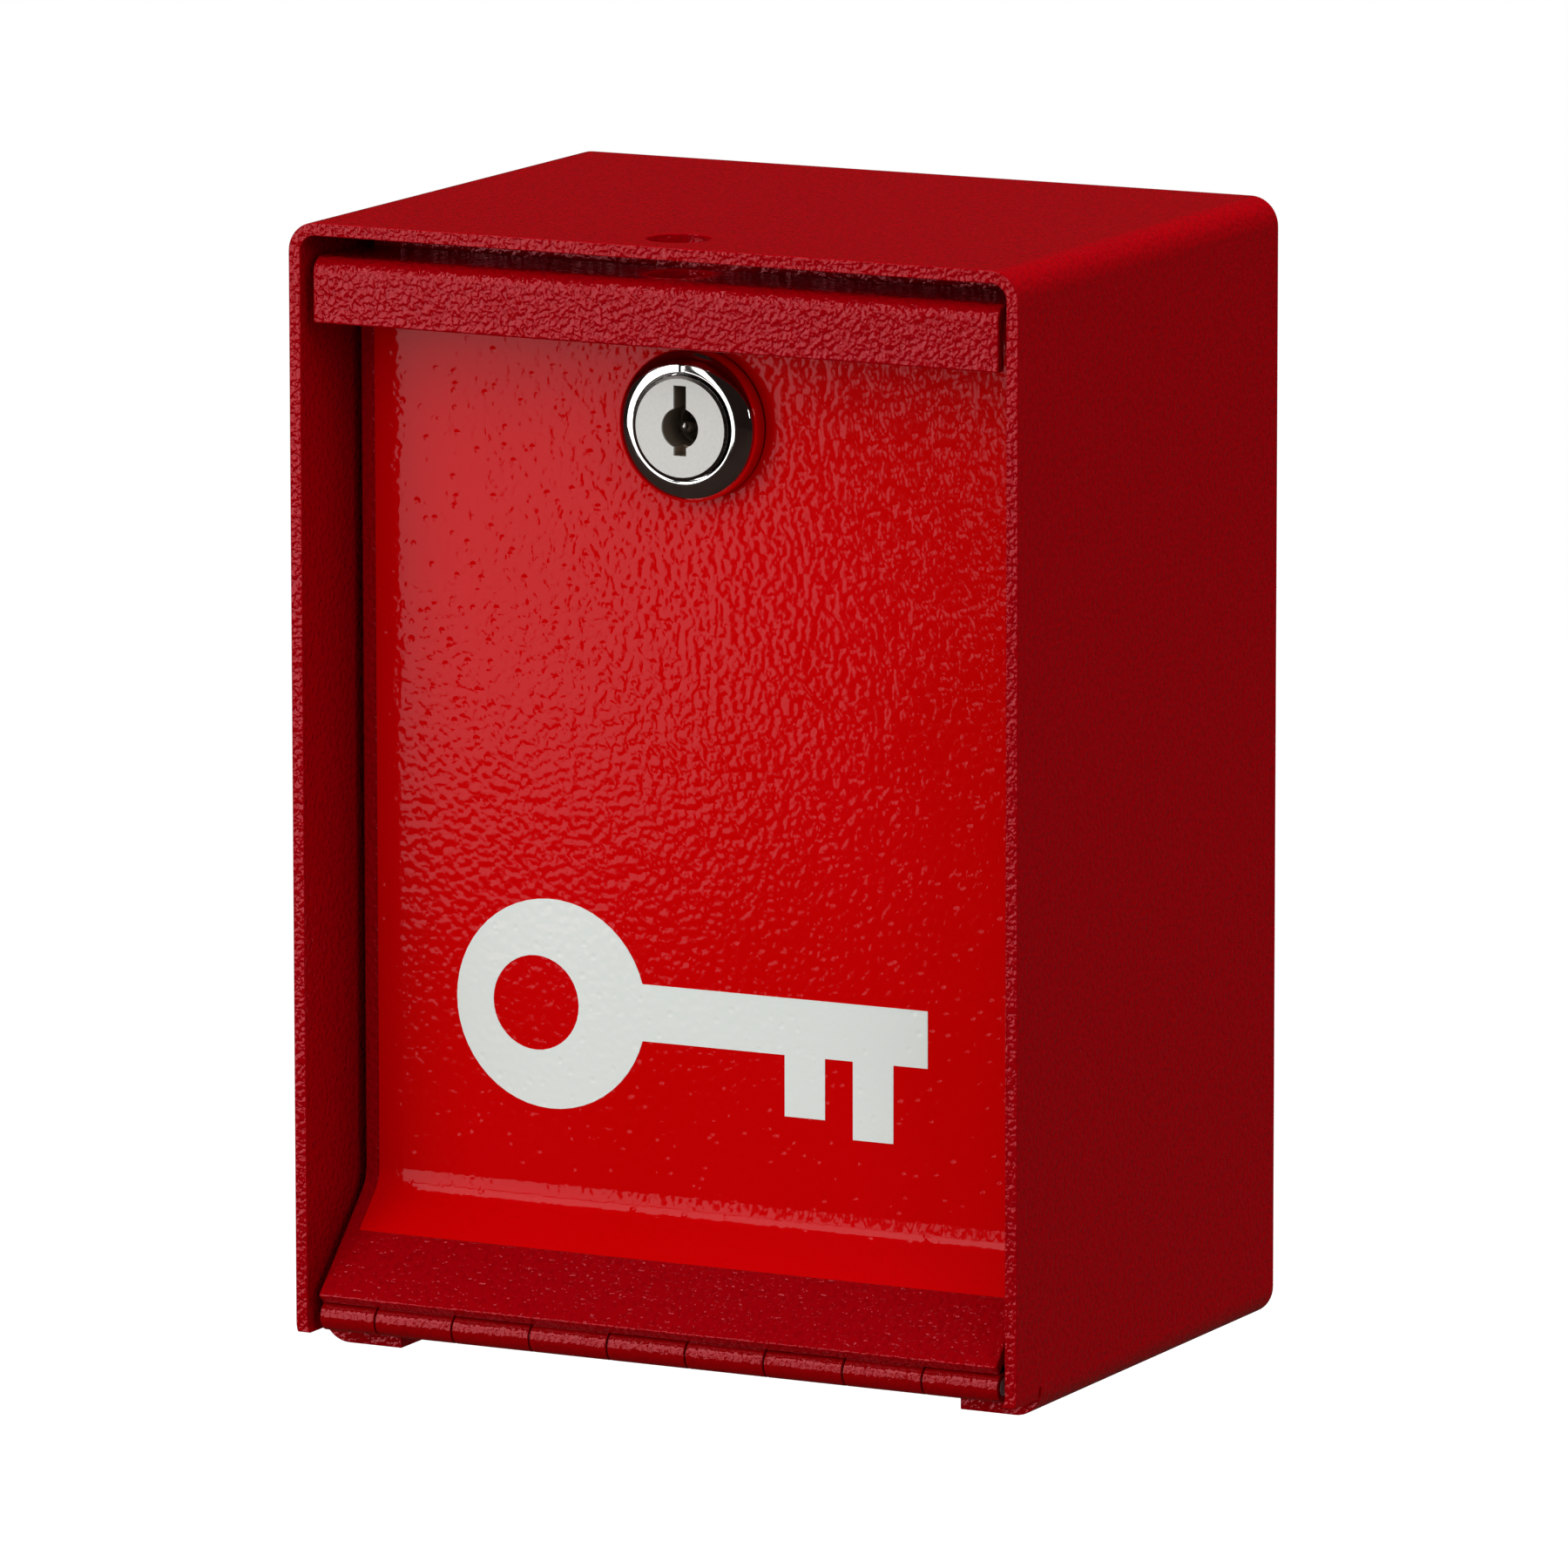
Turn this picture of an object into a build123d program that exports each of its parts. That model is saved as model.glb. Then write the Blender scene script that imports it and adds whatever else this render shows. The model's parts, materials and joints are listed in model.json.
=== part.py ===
"""Fire department key box: a folded steel wrap, a drop-down door on a continuous hinge and a cam lock.

Origin at the middle of the footprint on the ground, +Z up, the front face towards -Y.
"""

from build123d import *
import math
import os

os.makedirs("parts", exist_ok=True)

# Box, in millimetres
width = 117.0
height = 166.4
depth = 86.4
sheet = 1.9
inner_bend = 2.4
outer_bend = inner_bend + sheet
front = -depth / 2
back = depth / 2
inside_half = width / 2 - sheet
inside_top = height - sheet
weld_gap = 0.1

# Foot of the wrap: two inward flanges, set back so that the hinge shows between the sides
flange_width = 13.0
flange_setback = 8.3
side_foot = 2.85
relief_width = 0.8
relief_height = 4.6

# Continuous hinge along the foot of the door
pin_setback = 3.1
pin_y = front + pin_setback
pin_z = 5.17
pin_radius = 1.2
pin_clearance = 0.05
leaf = 0.95
bore_radius = pin_radius + pin_clearance
knuckle_radius = bore_radius + leaf
knuckle_pitch = 12.7
knuckle_gap = 0.3
first_knuckle = 9.0
least_knuckle = 3.0
curl_start = 1.3
leaf_reach = 17.5
leaf_clearance = 0.45

# Door: one folded sheet with a lip, a top flange, a recessed panel and a sloping foot
door_gap = 1.6
door_half = inside_half - door_gap
top_gap = 3.2
door_top = inside_top - top_gap
lip_setback = 0.9
lip_y = front + lip_setback
lip_height = 9.6
lip_bottom = door_top - lip_height
panel_setback = 15.1
panel_y = front + panel_setback
slope = math.radians(45)
slope_clearance = 0.16
slope_edge = 0.445
lip_bend = 0.5
slope_bend = 5.5

# Label on the door
label_margin = 2.4
label_half = door_half - label_margin
label_drop = 4.3
label_top = door_top - label_drop
label_thickness = 0.2
label_edge = 12.2

# Padlock holes through the top of the wrap and the door's top flange
padlock_setback = 9.4
padlock_y = front + padlock_setback
padlock_radius = 4.75

# Cam lock
lock_drop = 22.4
lock_z = door_top - lock_drop
head_radius = 11.1
head_side = 2.6
dome_height = 1.5
dome_step = 0.55
ring_outer = 9.45
ring_inner = 8.35
ring_proud = 4.9
shank_radius = 9.4
shank_flats = 16.0
shank_length = 16.9
lock_clearance = 0.1
plug_radius = 6.9
plug_clearance = 0.05
plug_proud = 0.7
cap_sheet = 0.4
cap_radius = 7.6
cap_turn = 0.2
flange_depth = 2.2
index_width = 0.8
index_depth = 0.4

# Keyway and wafers
key_round = 2.95
key_slot = 2.0
key_slot_top = 6.15
key_notch_bottom = 4.0
key_notch_depth = 2.5
keyway_depth = 14.6
post_radius = 1.0
post_recess = 1.0
wafer_count = 3
wafer_thickness = 1.2
wafer_pitch = 3.0
wafer_start = 3.0
wafer_width = 8.6
wafer_gap = 0.1
window_width = 6.2
window_bottom = 3.6
window_top = 5.6
wafer_steps = (0.0, 1.2, 0.6)

# Parts behind the door that hold and work the lock
tooth_washer_radius = 13.0
tooth_washer_sheet = 1.1
tooth_count = 8
tooth_gap_width = 2.0
tooth_gap_depth = 1.5
nut_flats = 24.0
nut_thickness = 5.0
stop_height = 1.5
stop_inner = 7.4
stop_washer_radius = 7.2
stop_washer_sheet = 1.4
stop_tab_radius = 9.2
stop_tab_half = 12.0
stop_slack = 1.0
turn = 90.0
tail_radius = 5.0
tail_flats = 8.0
cam_sheet = 2.0
cam_hub = 8.6
cam_tip = 5.5
cam_top_gap = 2.6
cam_reach = inside_top - lock_z - cam_top_gap
screw_radius = 1.95
screw_length = 8.0
screw_head_radius = 3.6
screw_head_height = 2.6
spring_washer_radius = 3.8
spring_washer_sheet = 0.9
spring_washer_split = 0.6

# Strike under the top: its front leg stops the door, its back leg holds the cam
strike_clearance = 0.3
strike_half = inside_half - inner_bend - strike_clearance
strike_sheet = 1.9
stop_gap = 0.3
washer_gap = 2.1
strike_front_bottom = lock_z + tooth_washer_radius + washer_gap
shank_gap = 1.7
strike_back_bottom = lock_z + shank_radius + shank_gap
cam_running_gap = 0.3

# Hook rail for the keys
hook_sheet = 1.5
hook_bend = 1.5
hook_width = 6.0
hook_spacing = 34.0
hook_count = 2
hook_out = 12.0
hook_up = 7.0
hook_drop = 4.0
rail_drop = 30.5
rail_height = 12.0
rail_half = 30.0

# Holes for screws into a wall
wall_hole_radius = 3.5
wall_hole_x = 76.2
wall_hole_z = 101.6
wall_hole_middle = 82.0

# Places worked out from the sizes above
first_joint = first_knuckle - door_half
rail_top = inside_top - rail_drop
rail_bottom = rail_top - rail_height
rail_middle = rail_top - rail_height / 2
hook_foot = rail_bottom - hook_drop
slope_face = knuckle_radius + slope_clearance + sheet
panel_back = panel_y + sheet
head_base = panel_y - label_thickness
ring_y = head_base + label_thickness - ring_proud
face_y = ring_y - plug_proud
shank_end = panel_y + shank_length
stop_end = shank_end + stop_height
cam_front = stop_end + lock_clearance
cam_back = cam_front + cam_sheet
floor_half = width / 2 - outer_bend - weld_gap
floor_top = 2 * sheet
plate_floor = floor_top - sheet / 2
plate_back = back - sheet / 2


def on_slope(along, out):
    """A (y, z) point by its distance up the slope from the pin and out from the pin."""
    return (
        pin_y + along * math.cos(slope) - out * math.sin(slope),
        pin_z + along * math.sin(slope) + out * math.cos(slope),
    )


def fold_point(behind):
    """The (y, z) corner between panel and slope, this far behind their front faces."""
    rise = (panel_y - pin_y) * math.tan(slope) + slope_face / math.cos(slope)
    return (panel_y + behind, pin_z + rise - behind * (1 - math.sin(slope)) / math.cos(slope))


def lock_plane(y):
    """A plane across the lock's axis, looking out of the door."""
    return Plane(origin=(0, y, lock_z), x_dir=(1, 0, 0), z_dir=(0, -1, 0))


def ray(angle):
    """A point far out from a lock plane's middle, in the direction of this angle in degrees."""
    far = 4 * shank_radius
    return (far * math.cos(math.radians(angle)), far * math.sin(math.radians(angle)))


def across(x):
    """A plane of the box's side view, at this distance from the middle."""
    return Plane.YZ.offset(x)


def facing(y):
    """A plane of the box's front view, at this depth."""
    return Plane.XZ.offset(-y)


with BuildPart() as enclosure_wrap:
    with BuildSketch(facing(back)):
        with Locations((0, height / 2)):
            RectangleRounded(width, height, outer_bend)
            RectangleRounded(2 * inside_half, height - 2 * sheet, inner_bend, mode=Mode.SUBTRACT)
        with Locations((0, sheet / 2)):
            Rectangle(width - 2 * flange_width, 2 * sheet, mode=Mode.SUBTRACT)
    extrude(amount=depth)
    with BuildSketch(Plane.XY):
        with Locations((0, front + flange_setback / 2)):
            Rectangle(width, flange_setback)
    extrude(amount=side_foot, mode=Mode.SUBTRACT)
    with BuildSketch(Plane.XY):
        with Locations((0, front + flange_setback - relief_width / 2)):
            Rectangle(width, relief_width)
    extrude(amount=relief_height, mode=Mode.SUBTRACT)
    with BuildSketch(Plane.XY.offset(height)):
        with Locations((0, padlock_y)):
            Circle(padlock_radius)
    extrude(amount=-sheet, mode=Mode.SUBTRACT)

with BuildPart() as back_and_floor_plate:
    with BuildSketch(across(-floor_half)):
        with BuildLine():
            FilletPolyline(
                (front + flange_setback, plate_floor),
                (plate_back, plate_floor),
                (plate_back, inside_top - weld_gap - inner_bend),
                radius=inner_bend + sheet / 2,
            )
        trace(line_width=sheet)
    extrude(amount=2 * floor_half)
    with BuildSketch(facing(back)) as back_outline:
        back_foot = sheet + outer_bend
        back_height = inside_top - weld_gap - back_foot
        with Locations((0, back_foot + back_height / 2)):
            Rectangle(2 * (inside_half - weld_gap), back_height)
        fillet(back_outline.vertices().group_by(Axis.Y)[-1], inner_bend)
    extrude(amount=sheet)
    with BuildSketch(facing(back)):
        with Locations((0, wall_hole_middle)):
            with GridLocations(wall_hole_x, wall_hole_z, 2, 2):
                Circle(wall_hole_radius)
    extrude(amount=sheet, mode=Mode.SUBTRACT)

with BuildPart() as strike_channel:
    stop_leg = panel_back + stop_gap + strike_sheet / 2
    hold_leg = cam_front - cam_running_gap - strike_sheet / 2
    strike_top = inside_top - weld_gap - strike_sheet / 2
    with BuildSketch(across(-strike_half)):
        with BuildLine():
            FilletPolyline(
                (stop_leg, strike_front_bottom),
                (stop_leg, strike_top),
                (hold_leg, strike_top),
                (hold_leg, strike_back_bottom),
                radius=strike_sheet,
            )
        trace(line_width=strike_sheet)
    extrude(amount=2 * strike_half)

# The hinge's knuckles lie side by side, and every other one belongs to the door
joint_count = int((door_half - first_joint - least_knuckle) // knuckle_pitch) + 1
joints = [first_joint + number * knuckle_pitch for number in range(joint_count)]
starts = [-door_half] + [joint + knuckle_gap / 2 for joint in joints]
ends = [joint - knuckle_gap / 2 for joint in joints] + [door_half]
knuckles = list(zip(starts, ends))
root = knuckle_radius + leaf_clearance

with BuildPart() as hinge_fixed_leaf:
    with BuildSketch(Plane.XY.offset(floor_top)):
        with Locations((0, pin_y + (root + leaf_reach) / 2)):
            Rectangle(2 * door_half, leaf_reach - root)
    extrude(amount=leaf)
    for start, end in knuckles[0::2]:
        with BuildSketch(across(start)):
            with Locations((pin_y, pin_z)):
                Circle(knuckle_radius)
            with Locations((pin_y + (curl_start + root + leaf) / 2, floor_top + leaf / 2)):
                Rectangle(root + leaf - curl_start, leaf)
            with Locations((pin_y, pin_z)):
                Circle(bore_radius, mode=Mode.SUBTRACT)
        extrude(amount=end - start)

slope_side = Plane(
    origin=(0, pin_y, pin_z),
    x_dir=(0, math.cos(slope), math.sin(slope)),
    z_dir=(1, 0, 0),
)
leaf_middle = knuckle_radius + slope_clearance - leaf / 2

with BuildPart() as hinge_door_leaf:
    with BuildSketch(slope_side.offset(-door_half)):
        with Locations(((root + leaf_reach) / 2, leaf_middle)):
            Rectangle(leaf_reach - root, leaf)
    extrude(amount=2 * door_half)
    for start, end in knuckles[1::2]:
        with BuildSketch(slope_side.offset(start)):
            Circle(knuckle_radius)
            with Locations(((curl_start / 2 + root + leaf) / 2, leaf_middle)):
                Rectangle(root + leaf - curl_start / 2, leaf)
            Circle(bore_radius, mode=Mode.SUBTRACT)
        extrude(amount=end - start)

with BuildPart() as hinge_pin:
    with BuildSketch(across(-door_half)):
        with Locations((pin_y, pin_z)):
            Circle(pin_radius)
    extrude(amount=2 * door_half)

with BuildPart() as door_panel:
    with BuildSketch(across(-door_half)):
        with BuildLine():
            FilletPolyline(
                (lip_y + sheet / 2, lip_bottom),
                (lip_y + sheet / 2, door_top - sheet / 2),
                (panel_y + sheet / 2, door_top - sheet / 2),
                fold_point(sheet / 2),
                on_slope(slope_edge, slope_face - sheet / 2),
                radius=[lip_bend + sheet / 2, lip_bend + sheet / 2, slope_bend + sheet / 2],
            )
        trace(line_width=sheet)
    extrude(amount=2 * door_half)
    with BuildSketch(Plane.XY.offset(door_top)):
        with Locations((0, padlock_y)):
            Circle(padlock_radius)
    extrude(amount=-sheet, mode=Mode.SUBTRACT)
    with BuildSketch(lock_plane(panel_back)):
        Circle(shank_radius + lock_clearance)
        Rectangle(shank_flats + 2 * lock_clearance, 3 * shank_radius, mode=Mode.INTERSECT)
    extrude(amount=sheet, mode=Mode.SUBTRACT)

with BuildPart() as front_label:
    with BuildSketch(across(-label_half)):
        with BuildLine():
            FilletPolyline(
                (panel_y - label_thickness / 2, label_top),
                fold_point(-label_thickness / 2),
                on_slope(label_edge, slope_face + label_thickness / 2),
                radius=slope_bend - label_thickness / 2,
            )
        trace(line_width=label_thickness)
    extrude(amount=2 * label_half)
    with BuildSketch(lock_plane(panel_y)):
        Circle(shank_radius + lock_clearance)
    extrude(amount=label_thickness, mode=Mode.SUBTRACT)

with BuildPart() as lock_housing:
    side_y = head_base - head_side
    floor_y = ring_y + flange_depth
    bore = plug_radius + plug_clearance
    with BuildSketch(Plane.YZ):
        with BuildLine():
            Polyline(
                (ring_y, lock_z + ring_outer),
                (ring_y, lock_z + ring_inner),
                (floor_y, lock_z + ring_inner),
                (floor_y, lock_z + bore),
                (shank_end, lock_z + bore),
                (shank_end, lock_z + shank_radius),
                (head_base, lock_z + shank_radius),
                (head_base, lock_z + head_radius),
                (side_y, lock_z + head_radius),
                (side_y - dome_height, lock_z + head_radius - dome_step),
                close=True,
            )
        make_face()
    revolve(axis=Axis((0, 0, lock_z), (0, 1, 0)))
    # A raised rim on the back face stops the tab of the washer at each end of the turn
    with BuildSketch(lock_plane(stop_end)):
        Circle(shank_radius)
        Circle(stop_inner, mode=Mode.SUBTRACT)
        free_half = turn / 2 + stop_tab_half + stop_slack
        free_middle = 270 - turn / 2
        with BuildLine():
            Polyline((0, 0), ray(free_middle - free_half), ray(free_middle + free_half), close=True)
        make_face(mode=Mode.SUBTRACT)
    extrude(amount=stop_height)
    # Two flats along the shank keep the lock from turning in the door
    with BuildSketch(lock_plane(stop_end)):
        Rectangle(4 * shank_radius, 4 * shank_radius)
        Rectangle(shank_flats, 4 * shank_radius, mode=Mode.SUBTRACT)
    extrude(amount=stop_end - head_base, mode=Mode.SUBTRACT)
    # Index notch at the top of the ring
    with BuildSketch(lock_plane(ring_y)):
        with Locations((0, (ring_inner + ring_outer) / 2)):
            Rectangle(index_width, ring_outer - ring_inner + 2 * index_depth)
    extrude(amount=-index_depth, mode=Mode.SUBTRACT)

with BuildPart() as lock_plug:
    plug_face = face_y + cap_sheet
    collar = cap_radius - cap_sheet
    collar_back = ring_y + flange_depth - lock_clearance
    tail_end = cam_back - lock_clearance
    with BuildSketch(lock_plane(collar_back)):
        Circle(collar)
    extrude(amount=collar_back - plug_face)
    with BuildSketch(lock_plane(shank_end - lock_clearance)):
        Circle(plug_radius)
    extrude(amount=shank_end - lock_clearance - collar_back)
    with BuildSketch(lock_plane(tail_end)):
        Circle(tail_radius)
        Rectangle(tail_flats, 3 * tail_radius, mode=Mode.INTERSECT)
    extrude(amount=tail_end - shank_end + lock_clearance)
    # Keyway: a round hole with a slot for the bit above and a short notch below
    with BuildSketch(lock_plane(plug_face)):
        Circle(key_round)
        with Locations((0, key_slot_top / 2)):
            Rectangle(key_slot, key_slot_top)
    extrude(amount=-keyway_depth, mode=Mode.SUBTRACT)
    with BuildSketch(lock_plane(plug_face)):
        with Locations((0, -key_notch_bottom / 2)):
            Rectangle(key_slot, key_notch_bottom)
    extrude(amount=-key_notch_depth, mode=Mode.SUBTRACT)
    for number in range(wafer_count):
        slot_back = collar_back + wafer_start + number * wafer_pitch + wafer_thickness / 2 + wafer_gap
        with BuildSketch(lock_plane(slot_back)):
            Rectangle(wafer_width + 2 * wafer_gap, 3 * plug_radius)
        extrude(amount=wafer_thickness + 2 * wafer_gap, mode=Mode.SUBTRACT)
    with BuildSketch(lock_plane(tail_end)):
        Circle(screw_radius + plug_clearance)
    extrude(amount=screw_length, mode=Mode.SUBTRACT)

with BuildPart() as plug_face_cap:
    with BuildSketch(Plane.YZ):
        cap_back = ring_y + flange_depth - 2 * lock_clearance
        cap_inner = lock_z + collar + plug_clearance / 2
        with BuildLine():
            Polyline(
                (face_y, lock_z),
                (face_y, lock_z + cap_radius - cap_turn),
                (face_y + cap_turn, lock_z + cap_radius),
                (cap_back, lock_z + cap_radius),
                (cap_back, cap_inner),
                (plug_face, cap_inner),
                (plug_face, lock_z),
                close=True,
            )
        make_face()
    revolve(axis=Axis((0, 0, lock_z), (0, 1, 0)))
    with BuildSketch(lock_plane(face_y)):
        Circle(key_round)
        with Locations((0, (key_slot_top - key_notch_bottom) / 2)):
            Rectangle(key_slot, key_slot_top + key_notch_bottom)
    extrude(amount=-cap_sheet, mode=Mode.SUBTRACT)

with BuildPart() as key_post:
    post_front = face_y + post_recess
    post_back = plug_face + keyway_depth
    with BuildSketch(lock_plane(post_back)):
        Circle(post_radius)
    extrude(amount=post_back - post_front)

with BuildPart() as wafer_tumblers:
    for number in range(wafer_count):
        wafer_back = collar_back + wafer_start + number * wafer_pitch + wafer_thickness / 2
        top = window_top - wafer_steps[number % len(wafer_steps)]
        with BuildSketch(lock_plane(wafer_back)):
            Circle(plug_radius - wafer_gap)
            Rectangle(wafer_width, 3 * plug_radius, mode=Mode.INTERSECT)
            with Locations((0, (top - window_bottom) / 2)):
                Rectangle(window_width, top + window_bottom, mode=Mode.SUBTRACT)
        extrude(amount=wafer_thickness)

with BuildPart() as lock_tooth_washer:
    with BuildSketch(lock_plane(panel_back + tooth_washer_sheet)):
        Circle(tooth_washer_radius)
        with PolarLocations(tooth_washer_radius, tooth_count):
            Rectangle(2 * tooth_gap_depth, tooth_gap_width, mode=Mode.SUBTRACT)
        with BuildSketch(mode=Mode.SUBTRACT):
            Circle(shank_radius + lock_clearance)
            Rectangle(shank_flats + 2 * lock_clearance, 3 * shank_radius, mode=Mode.INTERSECT)
    extrude(amount=tooth_washer_sheet)

with BuildPart() as lock_nut:
    nut_back = panel_back + tooth_washer_sheet + nut_thickness
    with BuildSketch(lock_plane(nut_back)):
        RegularPolygon(nut_flats / 2, 6, major_radius=False)
        Circle(shank_radius + lock_clearance, mode=Mode.SUBTRACT)
    extrude(amount=nut_thickness)

with BuildPart() as stop_washer:
    with BuildSketch(lock_plane(shank_end + lock_clearance + stop_washer_sheet)):
        Circle(stop_tab_radius)
        with BuildLine():
            Polyline((0, 0), ray(270 - stop_tab_half), ray(270 + stop_tab_half), close=True)
        make_face(mode=Mode.INTERSECT)
        Circle(stop_washer_radius)
        with BuildSketch(mode=Mode.SUBTRACT):
            Circle(tail_radius + plug_clearance)
            Rectangle(tail_flats + 2 * plug_clearance, 3 * tail_radius, mode=Mode.INTERSECT)
    extrude(amount=stop_washer_sheet)

with BuildPart() as lock_cam:
    with BuildSketch(lock_plane(cam_back)):
        with BuildSketch():
            Circle(cam_hub)
            with Locations((cam_tip - cam_reach, 0)):
                Circle(cam_tip)
            make_hull()
        with BuildSketch(mode=Mode.SUBTRACT):
            Circle(tail_radius + plug_clearance)
            Rectangle(tail_flats + 2 * plug_clearance, 3 * tail_radius, mode=Mode.INTERSECT)
    extrude(amount=cam_sheet)

with BuildPart() as cam_spring_washer:
    with BuildSketch(lock_plane(cam_back + spring_washer_sheet)):
        Circle(spring_washer_radius)
        Circle(screw_radius + lock_clearance, mode=Mode.SUBTRACT)
        with Locations((spring_washer_radius, 0)):
            Rectangle(2 * spring_washer_radius, spring_washer_split, mode=Mode.SUBTRACT)
    extrude(amount=spring_washer_sheet)

with BuildPart() as cam_screw:
    seat = cam_back + spring_washer_sheet
    with BuildSketch(lock_plane(seat + screw_head_height)):
        Circle(screw_head_radius)
    extrude(amount=screw_head_height)
    with BuildSketch(lock_plane(seat)):
        Circle(screw_radius)
    extrude(amount=screw_length)

with BuildPart() as hook_rail:
    rail_y = back - sheet - hook_sheet / 2
    rail_front = rail_y + hook_sheet / 2
    with BuildSketch(facing(rail_front)):
        with Locations((0, rail_middle)):
            Rectangle(2 * rail_half, rail_height)
    extrude(amount=hook_sheet)
    for number in range(hook_count):
        hook_x = (number - (hook_count - 1) / 2) * hook_spacing
        with BuildSketch(across(hook_x - hook_width / 2)):
            with BuildLine():
                FilletPolyline(
                    (rail_y, rail_top),
                    (rail_y, hook_foot),
                    (rail_y - hook_out, hook_foot),
                    (rail_y - hook_out, hook_foot + hook_up),
                    radius=hook_bend + hook_sheet / 2,
                )
            trace(line_width=hook_sheet)
        extrude(amount=hook_width)

pieces = {
    "enclosure_wrap": enclosure_wrap,
    "back_and_floor_plate": back_and_floor_plate,
    "strike_channel": strike_channel,
    "hinge_fixed_leaf": hinge_fixed_leaf,
    "hinge_door_leaf": hinge_door_leaf,
    "hinge_pin": hinge_pin,
    "door_panel": door_panel,
    "front_label": front_label,
    "lock_housing": lock_housing,
    "lock_plug": lock_plug,
    "plug_face_cap": plug_face_cap,
    "key_post": key_post,
    "wafer_tumblers": wafer_tumblers,
    "lock_tooth_washer": lock_tooth_washer,
    "lock_nut": lock_nut,
    "stop_washer": stop_washer,
    "lock_cam": lock_cam,
    "cam_spring_washer": cam_spring_washer,
    "cam_screw": cam_screw,
    "hook_rail": hook_rail,
}
for name, piece in pieces.items():
    piece.part.label = name
    export_step(piece.part, f"parts/{name}.step")
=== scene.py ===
"""Looks of the fire department key box: wrinkled red paint, a glossy label and a chrome cam lock."""

import json
import math

import bmesh
import bpy
from mathutils import Matrix, Vector


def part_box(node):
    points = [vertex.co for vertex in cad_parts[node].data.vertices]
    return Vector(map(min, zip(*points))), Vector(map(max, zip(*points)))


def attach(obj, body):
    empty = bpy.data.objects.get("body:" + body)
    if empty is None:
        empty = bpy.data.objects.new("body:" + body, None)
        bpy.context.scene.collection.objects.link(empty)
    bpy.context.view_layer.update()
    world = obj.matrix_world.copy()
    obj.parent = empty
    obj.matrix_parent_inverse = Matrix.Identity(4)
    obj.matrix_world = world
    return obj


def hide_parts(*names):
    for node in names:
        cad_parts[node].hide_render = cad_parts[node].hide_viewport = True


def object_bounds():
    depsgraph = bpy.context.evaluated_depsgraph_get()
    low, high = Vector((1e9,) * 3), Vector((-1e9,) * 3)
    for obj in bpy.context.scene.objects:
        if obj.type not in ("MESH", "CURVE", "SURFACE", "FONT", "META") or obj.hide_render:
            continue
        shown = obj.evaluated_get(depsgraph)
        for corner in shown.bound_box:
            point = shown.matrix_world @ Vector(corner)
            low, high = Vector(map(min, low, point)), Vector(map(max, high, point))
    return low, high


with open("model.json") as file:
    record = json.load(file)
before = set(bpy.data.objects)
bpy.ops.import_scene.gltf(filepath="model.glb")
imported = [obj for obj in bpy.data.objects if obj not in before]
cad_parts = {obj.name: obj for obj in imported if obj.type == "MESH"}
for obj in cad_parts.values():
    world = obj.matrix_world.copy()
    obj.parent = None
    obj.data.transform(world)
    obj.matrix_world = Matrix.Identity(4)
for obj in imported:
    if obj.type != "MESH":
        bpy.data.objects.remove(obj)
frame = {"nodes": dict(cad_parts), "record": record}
cad_low, cad_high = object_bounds()
mm = 0.001
white = (1.0, 1.0, 1.0, 1.0)
sharp_angle = math.radians(30)
hair = 0.01 * mm


def node_body(node):
    """The name of the body that a CAD node rides on."""
    for body, nodes in frame["record"]["behaviour"]["bodies"].items():
        if node in nodes:
            return body
    raise KeyError(node)


def node_slot(node):
    """The record's material slot of a CAD node."""
    for part in frame["record"]["subparts"]:
        if part["node"] == node:
            return part["material_slot"]
    raise KeyError(node)


# Materials


def new_material(name):
    """A node material with its tree and its shader."""
    material = bpy.data.materials.new(name)
    material.use_nodes = True
    tree = material.node_tree
    return material, tree, tree.nodes["Principled BSDF"]


def object_position(tree, scale=(1.0, 1.0, 1.0)):
    """Texture coordinates in metres of the object, scaled along each axis."""
    place = tree.nodes.new("ShaderNodeTexCoord")
    mapping = tree.nodes.new("ShaderNodeMapping")
    mapping.inputs["Scale"].default_value = scale
    tree.links.new(place.outputs["Object"], mapping.inputs["Vector"])
    return mapping.outputs["Vector"]


def noise(tree, vector, scale, detail, roughness=0.5, distortion=0.0):
    """A noise texture's value output."""
    node = tree.nodes.new("ShaderNodeTexNoise")
    node.inputs["Scale"].default_value = scale
    node.inputs["Detail"].default_value = detail
    node.inputs["Roughness"].default_value = roughness
    node.inputs["Distortion"].default_value = distortion
    tree.links.new(vector, node.inputs["Vector"])
    return node.outputs["Fac"]


def cell_distance(tree, vector, scale):
    """The distance from the nearest of many scattered points."""
    node = tree.nodes.new("ShaderNodeTexVoronoi")
    node.inputs["Scale"].default_value = scale
    tree.links.new(vector, node.inputs["Vector"])
    return node.outputs["Distance"]


def bump(tree, height, distance, under=None):
    """A bump node over a height, on top of another bump if one is given."""
    node = tree.nodes.new("ShaderNodeBump")
    node.inputs["Distance"].default_value = distance
    node.inputs["Strength"].default_value = 1.0
    tree.links.new(height, node.inputs["Height"])
    if under:
        tree.links.new(under, node.inputs["Normal"])
    return node.outputs["Normal"]


def ramp(tree, value, stops):
    """A colour ramp over a value; each stop is a place and a colour or a grey."""
    node = tree.nodes.new("ShaderNodeValToRGB")
    elements = node.color_ramp.elements
    for element, (place, colour) in zip(elements, stops):
        element.position = place
        element.color = (*colour, 1.0) if isinstance(colour, tuple) else (colour, colour, colour, 1.0)
    tree.links.new(value, node.inputs["Fac"])
    return node.outputs["Color"]


def spread(tree, grain, low, high):
    """A ramp from one value to another over the middle part of a noise."""
    return ramp(tree, grain, [(0.3, low), (0.7, high)])


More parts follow.
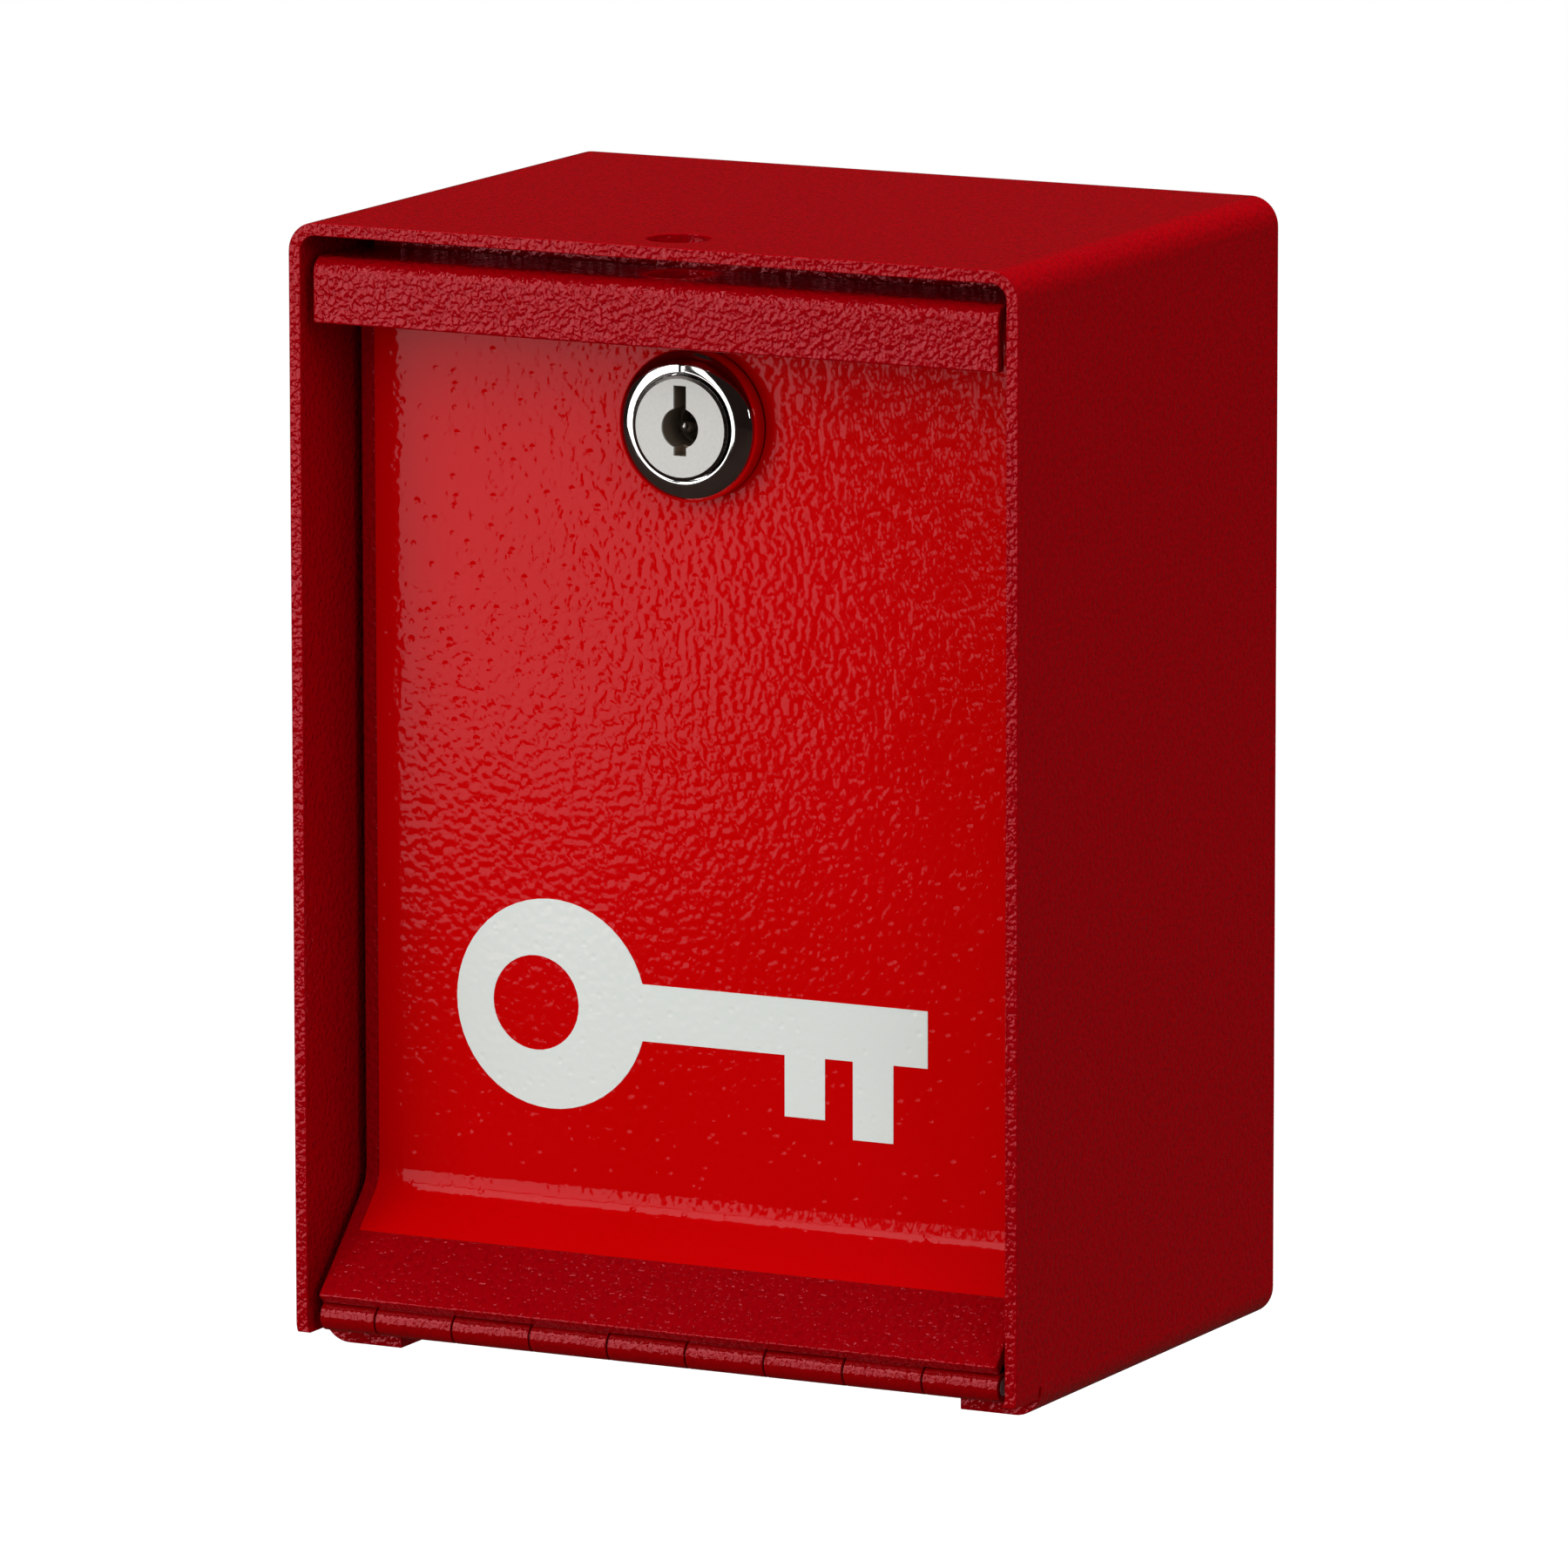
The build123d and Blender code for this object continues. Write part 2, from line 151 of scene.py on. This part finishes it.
def set_gloss(shader, level, tint):
    """The strength and the colour of a shader's plain reflection."""
    shader.inputs["Specular IOR Level"].default_value = level
    shader.inputs["Specular Tint"].default_value = (*tint, 1.0)


def paint_material(name, colour, furrow_shade, wrinkle, roughness):
    """Wrinkled powder coat: rounded ridges about a millimetre apart, with painted shade that darkens the
    furrows.
    """
    ridge_scale = 1250.0
    furrow_shade_stop = 0.34
    ridge_stop = 0.52
    material, tree, shader = new_material(name)
    grain = noise(tree, object_position(tree), ridge_scale, detail=0.8, distortion=0.3)
    # The furrow colour is painted shade: the paint is darker in the furrows, standing in for the shade that
    # falls there.
    base = ramp(tree, grain, [(furrow_shade_stop, furrow_shade), (ridge_stop, colour)])
    tree.links.new(base, shader.inputs["Base Color"])
    tree.links.new(bump(tree, spread(tree, grain, 0.0, 1.0), wrinkle), shader.inputs["Normal"])
    shader.inputs["Roughness"].default_value = roughness
    set_gloss(shader, level=0.58, tint=(1.0, 0.24, 0.28))
    return material


def film_material(name, low, high):
    """Glossy film over an uneven sheet: an orange-peel surface with small round pits."""
    peel_scale = 850.0
    peel_depth = 0.05 * mm
    pit_scale = 420.0
    pit_size = 0.24
    pit_depth = 0.055 * mm
    swell_scale = 90.0
    swell_depth = 0.04 * mm
    mottle_scale = 30.0
    smooth, rough = 0.05, 0.08
    stretch = (1.0, 1.0, 0.95)
    material, tree, shader = new_material(name)
    vector = object_position(tree, stretch)
    peel = noise(tree, vector, peel_scale, detail=0.6)
    pits = ramp(tree, cell_distance(tree, vector, pit_scale), [(0.0, 0.0), (pit_size, 1.0)])
    swell = noise(tree, vector, swell_scale, detail=1.0)
    mottle = noise(tree, vector, mottle_scale, detail=2.0)
    tree.links.new(spread(tree, mottle, low, high), shader.inputs["Base Color"])
    tree.links.new(spread(tree, peel, smooth, rough), shader.inputs["Roughness"])
    waves = bump(tree, swell, swell_depth)
    dented = bump(tree, pits, pit_depth, under=waves)
    tree.links.new(bump(tree, peel, peel_depth, under=dented), shader.inputs["Normal"])
    set_gloss(shader, level=0.2, tint=(1.0, 0.55, 0.58))
    return material


def metal_material(name, colour, smooth, rough, scale, mark=0.0, metallic=1.0):
    """Bare or plated metal with uneven roughness and fine marks."""
    dull_share = 0.88
    material, tree, shader = new_material(name)
    shader.inputs["Metallic"].default_value = metallic
    grain = noise(tree, object_position(tree), scale, detail=4.0, roughness=0.6)
    dull = tuple(dull_share * value for value in colour)
    tree.links.new(spread(tree, grain, dull, colour), shader.inputs["Base Color"])
    tree.links.new(spread(tree, grain, smooth, rough), shader.inputs["Roughness"])
    tree.links.new(bump(tree, grain, mark), shader.inputs["Normal"])
    return material


fine_mark = 0.003 * mm
materials = {
    "red_paint": paint_material(
        "red_paint",
        colour=(0.25, 0.0, 0.002),
        furrow_shade=(0.215, 0.0, 0.002),
        wrinkle=0.11 * mm,
        roughness=0.055,
    ),
    "label_film": film_material(
        "label_film",
        low=(0.445, 0.0, 0.0),
        high=(0.465, 0.0, 0.001),
    ),
    "lock_chrome": metal_material(
        "lock_chrome",
        colour=(0.82, 0.81, 0.8),
        smooth=0.04,
        rough=0.08,
        scale=400.0,
    ),
    "cap_steel": metal_material(
        "cap_steel",
        colour=(0.54, 0.53, 0.5),
        smooth=0.3,
        rough=0.4,
        scale=2500.0,
        mark=fine_mark,
        metallic=0.25,
    ),
    # The plug's brass is darker than brass: painted shade for the inside of the keyhole and the notch.
    "plug_brass": metal_material(
        "plug_brass",
        colour=(0.36, 0.28, 0.2),
        smooth=0.3,
        rough=0.45,
        scale=900.0,
        mark=fine_mark,
        metallic=0.7,
    ),
    "bare_steel": metal_material(
        "bare_steel",
        colour=(0.5, 0.5, 0.48),
        smooth=0.26,
        rough=0.4,
        scale=700.0,
        mark=fine_mark,
        metallic=0.6,
    ),
}
print_white = film_material(
    "print_white",
    low=(0.6, 0.63, 0.6),
    high=(0.62, 0.65, 0.62),
)
# Darker red than red_paint: painted shade on the hinge knuckles. The finer wrinkle is a real, smoother
# paint film.
hinge_painted_shade = paint_material(
    "hinge_painted_shade",
    colour=(0.21, 0.0, 0.001),
    furrow_shade=(0.19, 0.0, 0.001),
    wrinkle=0.045 * mm,
    roughness=0.07,
)
# Dark steel for the key post and the cap's rim: painted shade of the keyhole and of the groove round the
# cap.
dark_steel_painted_shade = metal_material(
    "dark_steel_painted_shade",
    colour=(0.3, 0.28, 0.26),
    smooth=0.2,
    rough=0.3,
    scale=900.0,
)


# Pieces made from the CAD shapes, with their edges eased


def link_piece(name, mesh, node, material=None):
    """Puts a mesh in the scene, riding with a CAD node's body in that node's finish."""
    mesh.materials.clear()
    mesh.materials.append(material or materials[node_slot(node)])
    for face in mesh.polygons:
        face.use_smooth = True
    mesh.set_sharp_from_angle(angle=sharp_angle)
    piece = bpy.data.objects.new(name, mesh)
    bpy.context.scene.collection.objects.link(piece)
    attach(piece, node_body(node))
    return piece


def ease(piece, width, sheet_metal):
    """Rounds every sharp edge of a piece and keeps its flat faces flat."""
    bevel = piece.modifiers.new("ease", "BEVEL")
    bevel.width = width
    bevel.segments = 3
    bevel.limit_method = "ANGLE"
    bevel.angle_limit = sharp_angle
    bevel.miter_outer = "MITER_ARC"
    bevel.harden_normals = not sheet_metal
    if sheet_metal:
        piece.modifiers.new("level", "WEIGHTED_NORMAL")


def eased_piece(node, width, sheet_metal=False, keep=None, material=None):
    """Replaces a CAD node by a copy with rounded edges, of all its faces or of those that keep() picks."""
    same_point = 0.0005 * mm
    flat_angle = math.radians(0.5)
    mesh = frame["nodes"][node].data.copy()
    mesh.name = node + "_eased"
    shape = bmesh.new()
    shape.from_mesh(mesh)
    bmesh.ops.remove_doubles(shape, verts=shape.verts, dist=same_point)
    if keep:
        dropped = [face for face in shape.faces if not keep(face.calc_center_median())]
        bmesh.ops.delete(shape, geom=dropped, context="FACES")
    bmesh.ops.dissolve_limit(
        shape,
        angle_limit=flat_angle,
        verts=shape.verts,
        edges=shape.edges,
        use_dissolve_boundaries=False,
    )
    shape.to_mesh(mesh)
    shape.free()
    piece = link_piece(node + "_eased", mesh, node, material)
    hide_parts(node)
    if width:
        ease(piece, width, sheet_metal)
    else:
        piece.modifiers.new("level", "WEIGHTED_NORMAL").keep_sharp = True
    return piece


def dress(node):
    """Gives a CAD node its material."""
    for slot in frame["nodes"][node].material_slots:
        slot.material = materials[node_slot(node)]


eased_width = {
    "enclosure_wrap": 0.32 * mm,
    "back_and_floor_plate": 0.25 * mm,
    "door_panel": 0.3 * mm,
    "strike_channel": 0.25 * mm,
    "hook_rail": 0.15 * mm,
    "hinge_fixed_leaf": 0.1 * mm,
    "hinge_door_leaf": 0.1 * mm,
    "lock_plug": 0.06 * mm,
    "lock_nut": 0.35 * mm,
    "lock_tooth_washer": 0.1 * mm,
    "stop_washer": 0.1 * mm,
    "lock_cam": 0.2 * mm,
    "cam_spring_washer": 0.08 * mm,
    "front_label": 0.0,
    "hinge_pin": 0.0,
}
folded = ("enclosure_wrap", "back_and_floor_plate", "door_panel", "strike_channel")
# The hinge leaves get the darker red, which is painted shade.
hinge_leaves_shaded = {"hinge_fixed_leaf": hinge_painted_shade, "hinge_door_leaf": hinge_painted_shade}
made_below = ("lock_housing", "plug_face_cap", "key_post", "cam_screw")
for node in frame["nodes"]:
    if node in eased_width:
        eased_piece(
            node,
            eased_width[node],
            sheet_metal=node in folded,
            material=hinge_leaves_shaded.get(node),
        )
    elif node not in made_below:
        dress(node)


# Turned pieces of the lock

cap_low, cap_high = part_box("plug_face_cap")
lock_axis = (Vector(cap_low) + Vector(cap_high)) / 2
sheet = 1.9 * mm
label_thickness = 0.2 * mm
label_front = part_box("lock_tooth_washer")[0].y - sheet - label_thickness
housing_low, housing_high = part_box("lock_housing")
ring_depth = housing_low.y
groove_depth = ring_depth + 2.2 * mm


def half_width(low, high):
    """The radius of a turned piece, from the corners of its box."""
    return (high.x - low.x) / 2


def turned_mesh(name, profile, segments=144):
    """A mesh turned round the lock's axis from (depth, radius) points."""
    shape = bmesh.new()
    rings = []
    for depth, radius in profile:
        ring = []
        for step in range(segments if radius > 0 else 1):
            angle = 2 * math.pi * step / segments + math.pi / 2
            x = lock_axis.x + radius * math.cos(angle)
            z = lock_axis.z + radius * math.sin(angle)
            ring.append(shape.verts.new((x, depth, z)))
        rings.append(ring)
    for near, far in zip(rings, rings[1:]):
        for step in range(segments):
            after = (step + 1) % segments
            near_side = [near[step % len(near)], near[after % len(near)]]
            far_side = [far[after % len(far)], far[step % len(far)]]
            shape.faces.new(list(dict.fromkeys(near_side + far_side)))
    bmesh.ops.recalc_face_normals(shape, faces=shape.faces)
    mesh = bpy.data.meshes.new(name)
    shape.to_mesh(mesh)
    shape.free()
    return mesh


def arc_points(start, end, bulge, steps):
    """Points of a quarter-like arc from one (depth, radius) point to another, leaving along the axis."""
    points = []
    for step in range(steps + 1):
        angle = bulge * step / steps
        forward = math.sin(angle) / math.sin(bulge)
        inward = (1 - math.cos(angle)) / (1 - math.cos(bulge))
        depth = start[0] + forward * (end[0] - start[0])
        radius = start[1] + inward * (end[1] - start[1])
        points.append((depth, radius))
    return points


def make_head():
    """Head of the lock: a plain side, a round shoulder, a ring that falls off outwards, and a groove."""
    head_radius = half_width(housing_low, housing_high)
    side_depth = label_front - 2.6 * mm
    undercut_depth = 0.4 * mm
    undercut_inset = 0.6 * mm
    undercut_slant = 0.1 * mm
    shoulder_turn = math.radians(62)
    shoulder_steps = 10
    ring_outer = 9.1 * mm
    ring_inner = 7.8 * mm
    ring_fall = 0.15 * mm
    fall_curve = 2.4
    ring_steps = 5
    ring_edge = 0.12 * mm
    edge_round = 0.035 * mm
    plug_bore = 6.95 * mm

    undercut = [
        (label_front, head_radius - undercut_inset),
        (label_front - undercut_depth + undercut_slant, head_radius - undercut_inset + undercut_slant),
        (label_front - undercut_depth, head_radius),
    ]
    shoulder_end = (ring_depth + ring_fall, ring_outer)
    shoulder = arc_points((side_depth, head_radius), shoulder_end, shoulder_turn, shoulder_steps)
    ring = []
    for step in range(1, ring_steps + 1):
        share = 1 - step / ring_steps
        radius = ring_inner + ring_edge + share * (ring_outer - ring_inner - ring_edge)
        ring.append((ring_depth + ring_fall * share**fall_curve, radius))
    inner_edge = [
        (ring_depth + edge_round, ring_inner + edge_round),
        (ring_depth + ring_edge, ring_inner),
    ]
    groove = [(groove_depth, ring_inner), (groove_depth, plug_bore)]
    mesh = turned_mesh("lock_head", undercut + shoulder + ring + inner_edge + groove, segments=192)
    cut_notch(mesh, ring_depth + ring_fall, ring_outer - 5 * hair)
    link_piece("lock_head", mesh, "lock_housing")


def cut_notch(mesh, deepest, widest):
    """Sinks the index notch at the top of the ring."""
    notch_half = 0.45 * mm
    notch_depth = 0.25 * mm
    for vertex in mesh.vertices:
        beside = abs(vertex.co.x - lock_axis.x)
        above = vertex.co.z - lock_axis.z
        on_ring = vertex.co.y < deepest and math.hypot(beside, above) < widest
        if on_ring and beside < notch_half and above > 0:
            vertex.co.y += notch_depth


def make_thread():
    """Thread on the shank behind the nut: round ridges, cut off by the shank's two flats."""
    shank_radius = 9.4 * mm
    flat_half = 7.98 * mm
    pitch = 1.3 * mm
    crest = shank_radius + 0.28 * mm
    root = shank_radius - 0.03 * mm
    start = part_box("lock_nut")[1].y
    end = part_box("stop_washer")[0].y - 0.1 * mm
    ridge = [(0.0, root), (0.15, root), (0.45, crest), (0.6, crest), (0.9, root)]
    profile = []
    for turn in range(int((end - start) / pitch)):
        foot = start + turn * pitch
        profile += [(foot + share * pitch, radius) for share, radius in ridge]
    mesh = turned_mesh("shank_thread", profile)
    for vertex in mesh.vertices:
        beside = vertex.co.x - lock_axis.x
        vertex.co.x = lock_axis.x + max(-flat_half, min(flat_half, beside))
    link_piece("shank_thread", mesh, "lock_housing")


def make_cap():
    """Cap on the plug: its face ends in a rolled rim that falls off to the side, dark steel as painted
    shade of the groove.
    """
    cap_edge = half_width(cap_low, cap_high)
    face_edge = cap_edge - 0.48 * mm
    rim_start = face_edge + 0.03 * mm
    rim_proud = 0.003 * mm
    rim_drop = 0.19 * mm
    cap = eased_piece("plug_face_cap", 0.03 * mm)
    for vertex in cap.data.vertices:
        beside = vertex.co.x - lock_axis.x
        above = vertex.co.z - lock_axis.z
        out = math.hypot(beside, above)
        if vertex.co.y < cap_low.y + hair and out > face_edge:
            vertex.co.x = lock_axis.x + beside * face_edge / out
            vertex.co.z = lock_axis.z + above * face_edge / out
    rim = [
        (cap_low.y - rim_proud, rim_start),
        (cap_low.y + rim_drop, cap_edge + hair),
        (groove_depth, cap_edge + hair),
    ]
    link_piece("cap_rim", turned_mesh("cap_rim", rim), "plug_face_cap", dark_steel_painted_shade)


def make_post():
    """Post in the keyhole, with a round tip, in dark steel as painted shade of the keyhole."""
    low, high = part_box("key_post")
    radius = half_width(low, high)
    tip_depth = low.y + 0.4 * mm
    tip_steps = 8
    tip = arc_points((tip_depth + radius, radius), (tip_depth, 0.0), math.pi / 2, tip_steps)
    mesh = turned_mesh("key_post_round", [(high.y, radius)] + tip, segments=48)
    post = link_piece("key_post_round", mesh, "key_post", dark_steel_painted_shade)
    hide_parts("key_post")


def make_screw():
    """Cam screw, with a rounded head."""
    low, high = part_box("cam_screw")
    head_radius = half_width(low, high)
    head_height = 2.6 * mm
    thread_radius = 1.9 * mm
    dome_shape = [(1.3 * mm, 1.0), (0.6 * mm, 0.92), (0.15 * mm, 0.6)]
    thread = [(low.y, 0.0), (low.y, thread_radius), (high.y - head_height, thread_radius)]
    dome = [(high.y - down, share * head_radius) for down, share in dome_shape]
    profile = thread + [(high.y - head_height, head_radius)] + dome + [(high.y, 0.0)]
    screw = link_piece("cam_screw_round", turned_mesh("cam_screw_round", profile, segments=64), "cam_screw")
    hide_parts("cam_screw")


make_head()
eased_piece("lock_housing", 0.1 * mm, keep=lambda middle: middle.y > label_front - hair)
make_thread()
make_cap()
make_post()
make_screw()


# A plain white key printed on the label


def circle_points(middle, radius, start, end, steps):
    """Points along a circle's arc, from one angle to another."""
    points = []
    for step in range(steps):
        angle = start + (end - start) * step / (steps - 1)
        points.append((middle[0] + radius * math.cos(angle), middle[1] + radius * math.sin(angle)))
    return points


def key_outline(middle, bow, shaft_half, shaft_end, bits):
    """Corner points of a key that lies along X: a round bow, a shaft and square bits under its end."""
    meet = math.asin(shaft_half / bow)
    points = circle_points(middle, bow, meet, 2 * math.pi - meet, steps=49)
    low = middle[1] - shaft_half
    for left, right, drop in bits:
        points += [(left, low), (left, low - drop), (right, low - drop), (right, low)]
    points += [(shaft_end, low), (shaft_end, middle[1] + shaft_half)]
    return points


def print_shape(name, outlines, depth, thickness):
    """A flat printed shape on the front of the label, from closed outlines with holes."""
    curve = bpy.data.curves.new(name, "CURVE")
    curve.dimensions = "2D"
    curve.fill_mode = "BOTH"
    curve.extrude = thickness / 2
    for outline in outlines:
        line = curve.splines.new("POLY")
        line.points.add(len(outline) - 1)
        for point, (x, z) in zip(line.points, outline):
            point.co = (x, z, 0.0, 1.0)
        line.use_cyclic_u = True
    shape = bpy.data.objects.new(name, curve)
    bpy.context.scene.collection.objects.link(shape)
    shape.rotation_euler = (math.pi / 2, 0.0, 0.0)
    shape.location = (0.0, depth, 0.0)
    bpy.context.view_layer.update()
    mesh = bpy.data.meshes.new_from_object(shape)
    mesh.transform(shape.matrix_world)
    bpy.data.objects.remove(shape)
    return mesh


def make_print():
    """The printed key: a round bow with a hole, a shaft and two bits."""
    bow_middle = (-24.0 * mm, 52.0 * mm)
    bow_radius = 15.5 * mm
    hole_middle = (bow_middle[0] - 2.5 * mm, bow_middle[1])
    hole_radius = 7.0 * mm
    hole_corners = 40
    shaft_half = 4.2 * mm
    shaft_end = 37.0 * mm
    bits = [(14.0 * mm, 20.5 * mm, 9.0 * mm), (25.0 * mm, 31.5 * mm, 11.5 * mm)]
    ink = 0.05 * mm
    outline = key_outline(bow_middle, bow_radius, shaft_half, shaft_end, bits)
    last_corner = 2 * math.pi * (hole_corners - 1) / hole_corners
    hole = circle_points(hole_middle, hole_radius, 0.0, last_corner, hole_corners)
    mesh = print_shape("printed_key", [outline, hole], label_front - ink / 2, ink)
    link_piece("printed_key", mesh, "front_label", print_white)


make_print()


# Studio: floor, dark cloths, lamps and camera

floor_drop = 0.165
white_rays = ("Is Camera Ray", "Is Glossy Ray", "Is Transmission Ray")


def seen_by(tree, names):
    """One where a ray is of any of these kinds."""
    path = tree.nodes.new("ShaderNodeLightPath")
    either = path.outputs[names[0]]
    for name in names[1:]:
        most = tree.nodes.new("ShaderNodeMath")
        most.operation = "MAXIMUM"
        tree.links.new(either, most.inputs[0])
        tree.links.new(path.outputs[name], most.inputs[1])
        either = most.outputs[0]
    return either


def make_world():
    """White to camera, glossy and transmission rays, and a plain even light for the rest."""
    even_light = 1.05
    world = bpy.data.worlds.new("studio")
    bpy.context.scene.world = world
    world.use_nodes = True
    tree = world.node_tree
    room = tree.nodes["Background"]
    room.inputs["Color"].default_value = white
    room.inputs["Strength"].default_value = even_light
    backdrop = tree.nodes.new("ShaderNodeBackground")
    backdrop.inputs["Color"].default_value = white
    backdrop.inputs["Strength"].default_value = 1.0
    mix = tree.nodes.new("ShaderNodeMixShader")
    tree.links.new(seen_by(tree, white_rays), mix.inputs["Fac"])
    tree.links.new(room.outputs[0], mix.inputs[1])
    tree.links.new(backdrop.outputs[0], mix.inputs[2])
    tree.links.new(mix.outputs[0], tree.nodes["World Output"].inputs["Surface"])


def matt_material(name, colour):
    """A matt material without any gloss, for what isn't part of the object."""
    material, tree, shader = new_material(name)
    shader.inputs["Base Color"].default_value = (*colour, 1.0)
    shader.inputs["Roughness"].default_value = 1.0
    shader.inputs["Specular IOR Level"].default_value = 0.0
    return material, tree, shader


def stage_card(name, corners, material):
    """A four-cornered card that isn't part of the object."""
    mesh = bpy.data.meshes.new(name)
    mesh.from_pydata(corners, [], [(0, 1, 2, 3)])
    mesh.materials.append(material)
    card = bpy.data.objects.new(name, mesh)
    bpy.context.scene.collection.objects.link(card)
    return card


def level_card(low_x, low_y, high_x, high_y, z):
    """The corners of a level card."""
    return [(low_x, low_y, z), (high_x, low_y, z), (high_x, high_y, z), (low_x, high_y, z)]


def upright_card(start, end, low, high):
    """The corners of an upright card over the line between two (x, y) points."""
    return [(*start, low), (*end, low), (*end, high), (*start, high)]


def make_floor():
    """A pale floor below the reach of the open door; it reads white and keeps the shadow."""
    glow = 0.75
    reach = 3.0
    behind = 1.5
    material, tree, shader = matt_material("floor_card", (0.2, 0.2, 0.2))
    shader.inputs["Emission Color"].default_value = white
    share = tree.nodes.new("ShaderNodeMath")
    share.operation = "MULTIPLY"
    share.inputs[1].default_value = glow
    tree.links.new(seen_by(tree, white_rays), share.inputs[0])
    tree.links.new(share.outputs[0], shader.inputs["Emission Strength"])
    stage_card("floor", level_card(-reach, -reach, reach, behind, -floor_drop), material)


def make_flags():
    """Dark cloths round the studio: only reflections see them, and they keep the gloss deep."""
    left, right = -2.0, 2.2
    near, far = -2.6, 2.2
    low, top = 2 * mm - floor_drop, 2.2
    material = matt_material("flag_cloth", (0.015, 0.0095, 0.008))[0]
    cards = {
        "flag_floor": level_card(left, near, right, far, low),
        "flag_left": upright_card((left, near), (left, far), low, top),
        "flag_right": upright_card((right, near), (right, far), low, top),
        "flag_near": upright_card((left, near), (right, near), low, top),
        "flag_far": upright_card((left, far), (right, far), low, top),
        "flag_top": level_card(left, near, right, far, top),
    }
    for name, corners in cards.items():
        card = stage_card(name, corners, material)
        card.visible_camera = False
        card.visible_diffuse = False
        card.visible_shadow = False
        card.visible_transmission = False


def make_lamp(name, place, target, size, watts, mirrored=True):
    """A soft rectangular lamp that faces its target."""
    lamp = bpy.data.lights.new(name, "AREA")
    lamp.shape = "RECTANGLE"
    lamp.size, lamp.size_y = size
    lamp.energy = watts
    holder = bpy.data.objects.new(name, lamp)
    holder.location = place
    holder.rotation_euler = (Vector(target) - Vector(place)).to_track_quat("-Z", "Y").to_euler()
    holder.visible_camera = False
    holder.visible_glossy = mirrored
    bpy.context.scene.collection.objects.link(holder)


def make_lamps():
    """Lamps that show in the gloss, and wide ones for even light that don't show in it."""
    middle = (Vector(cad_low) + Vector(cad_high)) / 2
    make_lamp("left_softbox", (-0.89, -1.0, 0.225), target=(-0.89, 0.0, 0.225), size=(0.8, 0.7), watts=5.5)
    make_lamp("upper_strip", (-0.33, -1.0, 0.25), target=(-0.33, 0.0, 0.25), size=(0.16, 0.6), watts=0.83)
    make_lamp("key_light", (-0.75, -1.1, 1.0), middle, size=(0.5, 0.5), watts=3.0)
    make_lamp("top_light", (-0.2, 0.36, 1.3), middle, size=(0.9, 0.9), watts=22.0, mirrored=False)
    make_lamp("front_fill", (0.2, -2.3, 0.2), middle, size=(1.6, 1.0), watts=1.5, mirrored=False)
    make_lamp("right_fill", (1.6, -0.7, 1.0), middle, size=(0.9, 0.9), watts=6.5, mirrored=False)
    make_lamp("edge_light", (1.5, -0.8, 0.45), middle, size=(0.07, 0.25), watts=0.4)
    make_lamp("left_fill", (-1.9, 0.4, 0.4), middle, size=(1.2, 1.2), watts=6.0, mirrored=False)
    make_lamp("back_fill", (0.0, 2.3, 0.5), middle, size=(1.6, 1.2), watts=4.0, mirrored=False)


def make_camera():
    """The photograph's view: about 27 degrees round to the right and 10 degrees above."""
    place = Matrix.Translation((0.95056, -1.87012, 0.45731))
    yaw = Matrix.Rotation(math.radians(26.955), 4, "Z")
    pitch = Matrix.Rotation(math.pi / 2 - math.radians(10.148), 4, "X")
    roll = Matrix.Rotation(math.radians(-0.069), 4, "Z")
    lens = bpy.data.cameras.new("camera")
    lens.sensor_width = 36.0
    lens.lens = 335.55
    lens.clip_start = 0.1
    lens.clip_end = 20.0
    camera = bpy.data.objects.new("camera", lens)
    camera.matrix_world = place @ yaw @ pitch @ roll
    bpy.context.scene.collection.objects.link(camera)
    bpy.context.scene.camera = camera


make_floor()
make_world()
make_flags()
make_lamps()
make_camera()

bpy.context.scene.view_settings.view_transform = "Standard"
